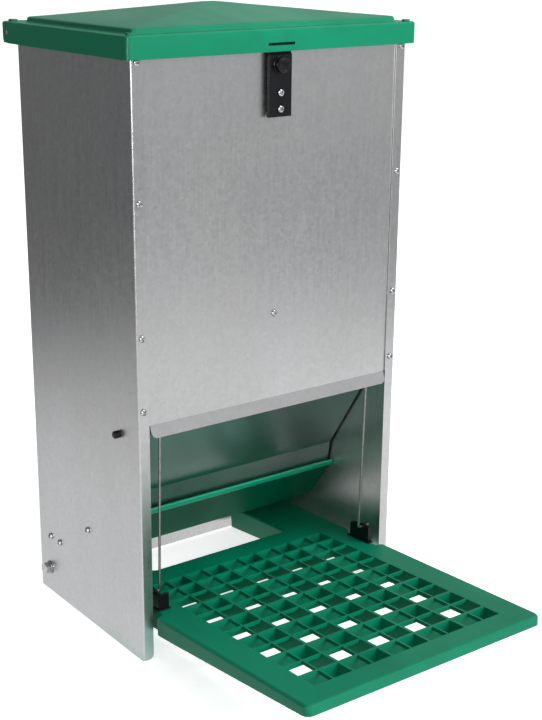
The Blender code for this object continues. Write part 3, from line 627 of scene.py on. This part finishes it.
def stage_floor():
    mesh = bpy.data.meshes.new("floor")
    s = 30.0
    mesh.from_pydata([(-s, -s, 0), (s, -s, 0), (s, s, 0), (-s, s, 0)], [], [(0, 1, 2, 3)])
    floor = bpy.data.objects.new("floor", mesh)
    floor.location.z = -0.0002
    scene.collection.objects.link(floor)
    mat = bpy.data.materials.new("pale_floor")
    mat.use_nodes = True
    tree = mat.node_tree
    tree.nodes.clear()
    out = tree.nodes.new("ShaderNodeOutputMaterial")
    diffuse = tree.nodes.new("ShaderNodeBsdfDiffuse")
    diffuse.inputs["Color"].default_value = (0.86, 0.87, 0.88, 1)
    glow = tree.nodes.new("ShaderNodeEmission")
    glow.inputs["Color"].default_value = (1, 1, 1, 1)
    glow.inputs["Strength"].default_value = 0.72
    seen = tree.nodes.new("ShaderNodeAddShader")
    tree.links.new(diffuse.outputs[0], seen.inputs[0])
    tree.links.new(glow.outputs[0], seen.inputs[1])
    # what the sheet metal reflects: a painted pool of light on the table, brightest near the object, with a painted
    # shadow under it, that ends behind and to the left, where the studio is dark
    position = tree.nodes.new("ShaderNodeNewGeometry").outputs["Position"]

    def remap(value, low, high, to_low, to_high):
        node = tree.nodes.new("ShaderNodeMapRange")
        node.interpolation_type = "SMOOTHSTEP"
        node.inputs["From Min"].default_value = low
        node.inputs["From Max"].default_value = high
        node.inputs["To Min"].default_value = to_low
        node.inputs["To Max"].default_value = to_high
        tree.links.new(value, node.inputs["Value"])
        return node.outputs["Result"]

    def times(a, b):
        node = tree.nodes.new("ShaderNodeMath")
        node.operation = "MULTIPLY"
        tree.links.new(a, node.inputs[0])
        tree.links.new(b, node.inputs[1])
        return node.outputs[0]

    def absolute(a):
        node = tree.nodes.new("ShaderNodeMath")
        node.operation = "ABSOLUTE"
        tree.links.new(a, node.inputs[0])
        return node.outputs[0]

    reach = tree.nodes.new("ShaderNodeVectorMath")
    reach.operation = "LENGTH"
    tree.links.new(position, reach.inputs[0])
    behind = tree.nodes.new("ShaderNodeVectorMath")
    behind.operation = "DOT_PRODUCT"
    behind.inputs[1].default_value = (-0.60, 0.80, 0.0)
    tree.links.new(position, behind.inputs[0])
    split = tree.nodes.new("ShaderNodeSeparateXYZ")
    shifted = tree.nodes.new("ShaderNodeVectorMath")
    shifted.operation = "SUBTRACT"
    shifted.inputs[1].default_value = (0.0, -0.06, 0.0)
    tree.links.new(position, shifted.inputs[0])
    tree.links.new(shifted.outputs[0], split.inputs[0])
    # the feeder's footprint: the mask for the painted shadow under it and the painted green bounce
    painted_shadow_and_bounce_mask = times(remap(absolute(split.outputs[0]), 0.09, 0.16, 1, 0), remap(absolute(split.outputs[1]), 0.10, 0.18, 1, 0))
    shade = times(remap(reach.outputs["Value"], 0.35, 1.35, 1.0, 0.47), remap(behind.outputs["Value"], 0.73, 1.34, 1.0, 0.37))
    shade = times(shade, remap(behind.outputs["Value"], -0.10, 0.25, 1.0, 0.80))
    # in front, the painted lit patch is stronger and falls off sooner, and the far end of the table lifts again
    ahead = remap(behind.outputs["Value"], -0.35, -0.05, 1.0, 0.0)
    front = times(remap(reach.outputs["Value"], 0.30, 0.62, 1.0, 1.30), remap(reach.outputs["Value"], 0.80, 1.40, 1.0, 0.44))
    front = times(front, remap(reach.outputs["Value"], 1.9, 3.4, 1.0, 2.00))
    chosen = tree.nodes.new("ShaderNodeMix")
    chosen.data_type = "FLOAT"
    chosen.inputs[2].default_value = 1.0
    tree.links.new(ahead, chosen.inputs[0])
    tree.links.new(front, chosen.inputs[3])
    shade = times(shade, chosen.outputs[0])
    # painted shadow: the table's glow is halved under the feeder
    shade = times(shade, remap(painted_shadow_and_bounce_mask, 0.0, 1.0, 1.0, 0.50))
    # painted green bounce: under the grid the table's glow is tinted green
    tint = tree.nodes.new("ShaderNodeMix")
    tint.data_type = "RGBA"
    tint.inputs[6].default_value = (0.98, 0.99, 1.0, 1)
    tint.inputs[7].default_value = (0.52, 1.0, 0.88, 1)
    tree.links.new(painted_shadow_and_bounce_mask, tint.inputs[0])
    lit = tree.nodes.new("ShaderNodeEmission")
    tree.links.new(tint.outputs[2], lit.inputs["Color"])
    path = tree.nodes.new("ShaderNodeLightPath")
    mix = tree.nodes.new("ShaderNodeMixShader")
    tree.links.new(shade, lit.inputs["Strength"])
    tree.links.new(path.outputs["Is Camera Ray"], mix.inputs[0])
    tree.links.new(lit.outputs[0], mix.inputs[1])
    tree.links.new(seen.outputs[0], mix.inputs[2])
    tree.links.new(mix.outputs[0], out.inputs["Surface"])
    mesh.materials.append(mat)


stage_floor()


def studio_world():
    world = bpy.data.worlds.new("studio")
    scene.world = world
    world.use_nodes = True
    tree = world.node_tree
    tree.nodes.clear()
    out = tree.nodes.new("ShaderNodeOutputWorld")
    back = tree.nodes.new("ShaderNodeBackground")
    coords = tree.nodes.new("ShaderNodeTexCoord")
    dot = tree.nodes.new("ShaderNodeVectorMath")
    dot.operation = "DOT_PRODUCT"
    dot.inputs[1].default_value = (-0.70, 0.68, 0.0)
    fade = tree.nodes.new("ShaderNodeMapRange")
    fade.interpolation_type = "SMOOTHSTEP"
    fade.inputs["From Min"].default_value = -0.45
    fade.inputs["From Max"].default_value = 0.70
    fade.inputs["To Min"].default_value = 0.66
    fade.inputs["To Max"].default_value = 0.21
    tree.links.new(coords.outputs["Generated"], dot.inputs[0])
    tree.links.new(dot.outputs["Value"], fade.inputs["Value"])
    tree.links.new(fade.outputs["Result"], back.inputs["Strength"])
    back.inputs["Color"].default_value = (0.97, 0.985, 1.0, 1)
    backdrop = tree.nodes.new("ShaderNodeBackground")
    backdrop.inputs["Color"].default_value = (1.0, 1.0, 1.0, 1)
    backdrop.inputs["Strength"].default_value = 1.0
    path = tree.nodes.new("ShaderNodeLightPath")
    mix = tree.nodes.new("ShaderNodeMixShader")
    tree.links.new(path.outputs["Is Camera Ray"], mix.inputs[0])
    tree.links.new(back.outputs[0], mix.inputs[1])
    tree.links.new(backdrop.outputs[0], mix.inputs[2])
    tree.links.new(mix.outputs[0], out.inputs["Surface"])


studio_world()


def area(name, place, target, size, power, colour=(1, 1, 1), shiny=True, matte=True):
    data = bpy.data.lights.new(name, "AREA")
    data.energy = power
    data.color = colour
    data.shape = "RECTANGLE"
    data.size = size
    data.size_y = size
    obj = bpy.data.objects.new(name, data)
    obj.location = place
    direction = Vector(target) - Vector(place)
    obj.rotation_euler = direction.to_track_quat("-Z", "Y").to_euler()
    obj.visible_glossy = shiny
    obj.visible_diffuse = matte
    scene.collection.objects.link(obj)
    return obj


area("key_softbox", (1.9, -2.0, 1.9), (0, 0, 0.2), 1.8, 58, (1.0, 0.995, 0.98), shiny=False)
area("front_fill", (0.3, -2.5, 0.8), (0, 0.05, 0.1), 1.2, 24, shiny=False)
area("edge_strip", (-1.75, -1.25, 0.75), (0, 0, 0.3), 0.9, 24, matte=False)
area("top_softbox", (0.5, -0.9, 2.4), (0, 0, 0.2), 0.6, 13)

camera_data = bpy.data.cameras.new("camera")
camera = bpy.data.objects.new("camera", camera_data)
scene.collection.objects.link(camera)
camera_data.sensor_fit = "VERTICAL"
camera_data.sensor_height = 36.0
camera_data.sensor_width = 36.0
camera_data.lens = 68.835
camera_data.shift_x = 0.04647
camera_data.shift_y = 0.01836
camera_data.clip_start = 0.05
camera_data.clip_end = 100.0
YAW, PITCH, ROLL = math.radians(-35.622), math.radians(18.055), math.radians(0.088)
back_axis = Vector((math.sin(YAW) * math.cos(PITCH), -math.cos(YAW) * math.cos(PITCH), math.sin(PITCH)))
right_axis = Vector((math.cos(YAW), math.sin(YAW), 0))
up_axis = back_axis.cross(right_axis)
right_2 = right_axis * math.cos(ROLL) + up_axis * math.sin(ROLL)
up_2 = -right_axis * math.sin(ROLL) + up_axis * math.cos(ROLL)
rotation = Matrix((right_2, up_2, back_axis)).transposed()
camera.matrix_world = Matrix.Translation(Vector((-0.66862, -0.87399, 0.58997))) @ rotation.to_4x4()
scene.camera = camera
scene.view_settings.view_transform = "Standard"
scene.view_settings.look = "None"
scene.view_settings.exposure = 0.0
scene.view_settings.gamma = 1.0

bpy.context.view_layer.update()
